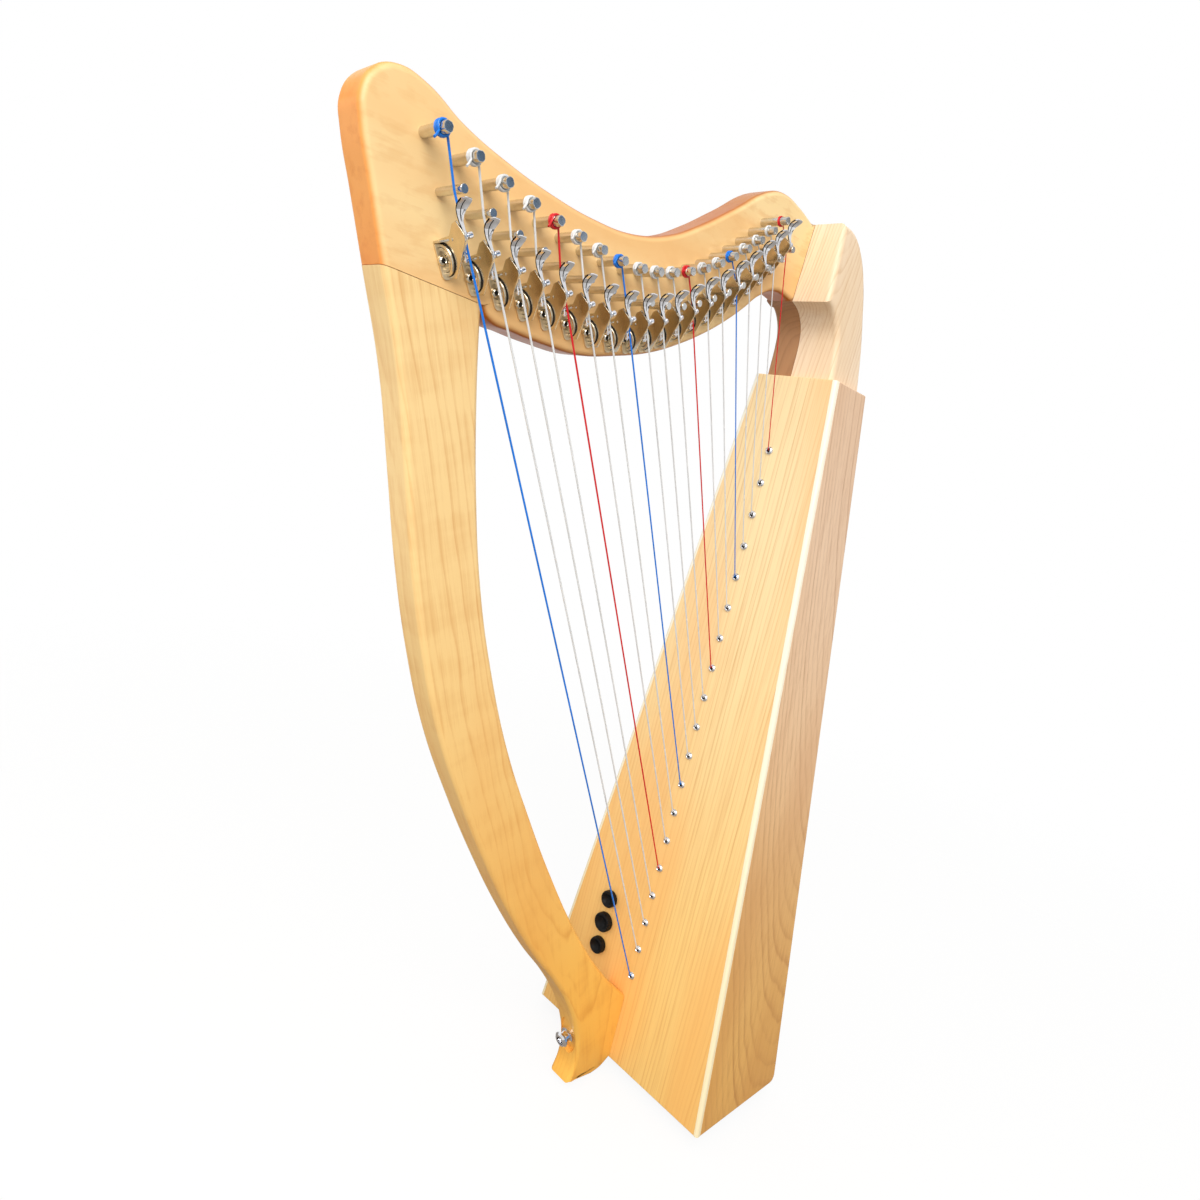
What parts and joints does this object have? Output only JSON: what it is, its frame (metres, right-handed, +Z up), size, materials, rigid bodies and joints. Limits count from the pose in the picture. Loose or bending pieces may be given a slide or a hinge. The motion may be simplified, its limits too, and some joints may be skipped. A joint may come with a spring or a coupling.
{
  "type": "lap harp",
  "caption": "Small lap harp with a tapered sound box, curved neck and column, sharping levers, tuning pins, pickup knobs and an end-pin jack.",
  "frame": {"origin": "middle of the sound box's base board, on its underside, in the plane of the string holes", "axes": "+Z up along the soundboard, -X out of the soundboard towards the column, -Y towards the side with the levers and pins"},
  "size_m": [0.4765, 0.1893, 0.7046],
  "materials": {
    "maple": "satin clear lacquer, cathedral grain",
    "maple_dark": "satin clear lacquer",
    "spruce": "satin lacquer, fine straight grain",
    "side_wood": "satin lacquer, straight grain",
    "cream_wood": "satin lacquer, pale",
    "nickel": "bright nickel plate",
    "black": "matt, knurled",
    "string": "clear, blue and red monofilament",
    "pickup": "bare strip"
  },
  "bodies": {
    "frame": {"soundboard": "spruce", "side_panel_near": "side_wood", "side_panel_far": "side_wood", "back_panel": "maple", "bottom_board": "maple", "edge_strip_near": "cream_wood", "edge_strip_far": "cream_wood", "brace_low": "spruce", "brace_high": "spruce", "tail_block": "maple", "column": "maple", "neck": "maple", "shoulder_core": "maple_dark", "shoulder_cheek": "cream_wood", "string_rib_and_strings": "string", "preamp_case": "black", "pickup_strip": "pickup", "endpin_jack": "nickel"},
    "lever_01": {"lever_01": "nickel"},
    "lever_02": {"lever_02": "nickel"},
    "lever_03": {"lever_03": "nickel"},
    "lever_04": {"lever_04": "nickel"},
    "lever_05": {"lever_05": "nickel"},
    "lever_06": {"lever_06": "nickel"},
    "lever_07": {"lever_07": "nickel"},
    "lever_08": {"lever_08": "nickel"},
    "lever_09": {"lever_09": "nickel"},
    "lever_10": {"lever_10": "nickel"},
    "lever_11": {"lever_11": "nickel"},
    "lever_12": {"lever_12": "nickel"},
    "lever_13": {"lever_13": "nickel"},
    "lever_14": {"lever_14": "nickel"},
    "lever_15": {"lever_15": "nickel"},
    "lever_16": {"lever_16": "nickel"},
    "lever_17": {"lever_17": "nickel"},
    "lever_18": {"lever_18": "nickel"},
    "lever_19": {"lever_19": "nickel"},
    "tuning_pin_01": {"tuning_pin_01": "nickel"},
    "tuning_pin_02": {"tuning_pin_02": "nickel"},
    "tuning_pin_03": {"tuning_pin_03": "nickel"},
    "tuning_pin_04": {"tuning_pin_04": "nickel"},
    "tuning_pin_05": {"tuning_pin_05": "nickel"},
    "tuning_pin_06": {"tuning_pin_06": "nickel"},
    "tuning_pin_07": {"tuning_pin_07": "nickel"},
    "tuning_pin_08": {"tuning_pin_08": "nickel"},
    "tuning_pin_09": {"tuning_pin_09": "nickel"},
    "tuning_pin_10": {"tuning_pin_10": "nickel"},
    "tuning_pin_11": {"tuning_pin_11": "nickel"},
    "tuning_pin_12": {"tuning_pin_12": "nickel"},
    "tuning_pin_13": {"tuning_pin_13": "nickel"},
    "tuning_pin_14": {"tuning_pin_14": "nickel"},
    "tuning_pin_15": {"tuning_pin_15": "nickel"},
    "tuning_pin_16": {"tuning_pin_16": "nickel"},
    "tuning_pin_17": {"tuning_pin_17": "nickel"},
    "tuning_pin_18": {"tuning_pin_18": "nickel"},
    "tuning_pin_19": {"tuning_pin_19": "nickel"},
    "knob_1": {"knob_1": "black"},
    "knob_2": {"knob_2": "black"},
    "knob_3": {"knob_3": "black"}
  },
  "joints": [
    {"name": "lever_01_turn", "type": "hinge", "parent": "frame", "child": "lever_01", "pos_m": [-0.36729, -0.01851, 0.57178], "axis": [0.8478, 0, 0.5303], "range_deg": [0, 90]},
    {"name": "lever_02_turn", "type": "hinge", "parent": "frame", "child": "lever_02", "pos_m": [-0.35085, -0.01853, 0.56954], "axis": [0.8473, 0, 0.5311], "range_deg": [0, 90]},
    {"name": "lever_03_turn", "type": "hinge", "parent": "frame", "child": "lever_03", "pos_m": [-0.3345, -0.01854, 0.56776], "axis": [0.847, 0, 0.5317], "range_deg": [0, 90]},
    {"name": "lever_04_turn", "type": "hinge", "parent": "frame", "child": "lever_04", "pos_m": [-0.31846, -0.01856, 0.56728], "axis": [0.847, 0, 0.5316], "range_deg": [0, 90]},
    {"name": "lever_05_turn", "type": "hinge", "parent": "frame", "child": "lever_05", "pos_m": [-0.30233, -0.01857, 0.56731], "axis": [0.8474, 0, 0.5309], "range_deg": [0, 90]},
    {"name": "lever_06_turn", "type": "hinge", "parent": "frame", "child": "lever_06", "pos_m": [-0.28558, -0.01857, 0.5672], "axis": [0.8485, 0, 0.5292], "range_deg": [0, 90]},
    {"name": "lever_07_turn", "type": "hinge", "parent": "frame", "child": "lever_07", "pos_m": [-0.26893, -0.01855, 0.56758], "axis": [0.85, 0, 0.5268], "range_deg": [0, 90]},
    {"name": "lever_08_turn", "type": "hinge", "parent": "frame", "child": "lever_08", "pos_m": [-0.2531, -0.01855, 0.56935], "axis": [0.8517, 0, 0.524], "range_deg": [0, 90]},
    {"name": "lever_09_turn", "type": "hinge", "parent": "frame", "child": "lever_09", "pos_m": [-0.23849, -0.01857, 0.57262], "axis": [0.8533, 0, 0.5214], "range_deg": [0, 90]},
    {"name": "lever_10_turn", "type": "hinge", "parent": "frame", "child": "lever_10", "pos_m": [-0.22555, -0.01863, 0.57703], "axis": [0.8538, 0, 0.5206], "range_deg": [0, 90]},
    {"name": "lever_11_turn", "type": "hinge", "parent": "frame", "child": "lever_11", "pos_m": [-0.21343, -0.01871, 0.58276], "axis": [0.8544, 0, 0.5196], "range_deg": [0, 90]},
    {"name": "lever_12_turn", "type": "hinge", "parent": "frame", "child": "lever_12", "pos_m": [-0.20142, -0.01879, 0.5902], "axis": [0.8565, 0, 0.5161], "range_deg": [0, 90]},
    {"name": "lever_13_turn", "type": "hinge", "parent": "frame", "child": "lever_13", "pos_m": [-0.18948, -0.01886, 0.59849], "axis": [0.8598, 0, 0.5107], "range_deg": [0, 90]},
    {"name": "lever_14_turn", "type": "hinge", "parent": "frame", "child": "lever_14", "pos_m": [-0.17739, -0.01892, 0.60724], "axis": [0.8643, 0, 0.503], "range_deg": [0, 90]},
    {"name": "lever_15_turn", "type": "hinge", "parent": "frame", "child": "lever_15", "pos_m": [-0.16566, -0.01899, 0.61656], "axis": [0.8695, 0, 0.4939], "range_deg": [0, 90]},
    {"name": "lever_16_turn", "type": "hinge", "parent": "frame", "child": "lever_16", "pos_m": [-0.15485, -0.01906, 0.6264], "axis": [0.8743, 0, 0.4853], "range_deg": [0, 90]},
    {"name": "lever_17_turn", "type": "hinge", "parent": "frame", "child": "lever_17", "pos_m": [-0.14452, -0.01915, 0.63658], "axis": [0.8793, 0, 0.4763], "range_deg": [0, 90]},
    {"name": "lever_18_turn", "type": "hinge", "parent": "frame", "child": "lever_18", "pos_m": [-0.13447, -0.01925, 0.64689], "axis": [0.8847, 0, 0.4662], "range_deg": [0, 90]},
    {"name": "lever_19_turn", "type": "hinge", "parent": "frame", "child": "lever_19", "pos_m": [-0.12455, -0.01938, 0.65727], "axis": [0.891, 0, 0.454], "range_deg": [0, 90]},
    {"name": "tuning_pin_01_turn", "type": "hinge", "parent": "frame", "child": "tuning_pin_01", "pos_m": [-0.3874, 0.0012, 0.6093], "axis": [0, -1, 0], "continuous": true},
    {"name": "tuning_pin_02_turn", "type": "hinge", "parent": "frame", "child": "tuning_pin_02", "pos_m": [-0.36917, 0.0012, 0.60521], "axis": [0, -1, 0], "continuous": true},
    {"name": "tuning_pin_03_turn", "type": "hinge", "parent": "frame", "child": "tuning_pin_03", "pos_m": [-0.3512, 0.0012, 0.6016], "axis": [0, -1, 0], "continuous": true},
    {"name": "tuning_pin_04_turn", "type": "hinge", "parent": "frame", "child": "tuning_pin_04", "pos_m": [-0.33385, 0.0012, 0.59936], "axis": [0, -1, 0], "continuous": true},
    {"name": "tuning_pin_05_turn", "type": "hinge", "parent": "frame", "child": "tuning_pin_05", "pos_m": [-0.317, 0.0012, 0.5978], "axis": [0, -1, 0], "continuous": true},
    {"name": "tuning_pin_06_turn", "type": "hinge", "parent": "frame", "child": "tuning_pin_06", "pos_m": [-0.30078, 0.0012, 0.59636], "axis": [0, -1, 0], "continuous": true},
    {"name": "tuning_pin_07_turn", "type": "hinge", "parent": "frame", "child": "tuning_pin_07", "pos_m": [-0.2848, 0.0012, 0.5956], "axis": [0, -1, 0], "continuous": true},
    {"name": "tuning_pin_08_turn", "type": "hinge", "parent": "frame", "child": "tuning_pin_08", "pos_m": [-0.26829, 0.0012, 0.59587], "axis": [0, -1, 0], "continuous": true},
    {"name": "tuning_pin_09_turn", "type": "hinge", "parent": "frame", "child": "tuning_pin_09", "pos_m": [-0.2525, 0.0012, 0.5973], "axis": [0, -1, 0], "continuous": true},
    {"name": "tuning_pin_10_turn", "type": "hinge", "parent": "frame", "child": "tuning_pin_10", "pos_m": [-0.23887, 0.0012, 0.60023], "axis": [0, -1, 0], "continuous": true},
    {"name": "tuning_pin_11_turn", "type": "hinge", "parent": "frame", "child": "tuning_pin_11", "pos_m": [-0.226, 0.0012, 0.6044], "axis": [0, -1, 0], "continuous": true},
    {"name": "tuning_pin_12_turn", "type": "hinge", "parent": "frame", "child": "tuning_pin_12", "pos_m": [-0.21269, 0.0012, 0.60969], "axis": [0, -1, 0], "continuous": true},
    {"name": "tuning_pin_13_turn", "type": "hinge", "parent": "frame", "child": "tuning_pin_13", "pos_m": [-0.1998, 0.0012, 0.616], "axis": [0, -1, 0], "continuous": true},
    {"name": "tuning_pin_14_turn", "type": "hinge", "parent": "frame", "child": "tuning_pin_14", "pos_m": [-0.18793, 0.0012, 0.62326], "axis": [0, -1, 0], "continuous": true},
    {"name": "tuning_pin_15_turn", "type": "hinge", "parent": "frame", "child": "tuning_pin_15", "pos_m": [-0.1766, 0.0012, 0.6313], "axis": [0, -1, 0], "continuous": true},
    {"name": "tuning_pin_16_turn", "type": "hinge", "parent": "frame", "child": "tuning_pin_16", "pos_m": [-0.16558, 0.0012, 0.63995], "axis": [0, -1, 0], "continuous": true},
    {"name": "tuning_pin_17_turn", "type": "hinge", "parent": "frame", "child": "tuning_pin_17", "pos_m": [-0.1548, 0.0012, 0.6492], "axis": [0, -1, 0], "continuous": true},
    {"name": "tuning_pin_18_turn", "type": "hinge", "parent": "frame", "child": "tuning_pin_18", "pos_m": [-0.14412, 0.0012, 0.65911], "axis": [0, -1, 0], "continuous": true},
    {"name": "tuning_pin_19_turn", "type": "hinge", "parent": "frame", "child": "tuning_pin_19", "pos_m": [-0.1335, 0.0012, 0.6693], "axis": [0, -1, 0], "continuous": true},
    {"name": "knob_1_turn", "type": "hinge", "parent": "frame", "child": "knob_1", "pos_m": [-0.058, 0.04, 0.1297], "axis": [-1, 0, 0], "range_deg": [-150, 150]},
    {"name": "knob_2_turn", "type": "hinge", "parent": "frame", "child": "knob_2", "pos_m": [-0.058, 0.04, 0.1076], "axis": [-1, 0, 0], "range_deg": [-150, 150]},
    {"name": "knob_3_turn", "type": "hinge", "parent": "frame", "child": "knob_3", "pos_m": [-0.058, 0.04, 0.0854], "axis": [-1, 0, 0], "range_deg": [-150, 150]}
  ]
}
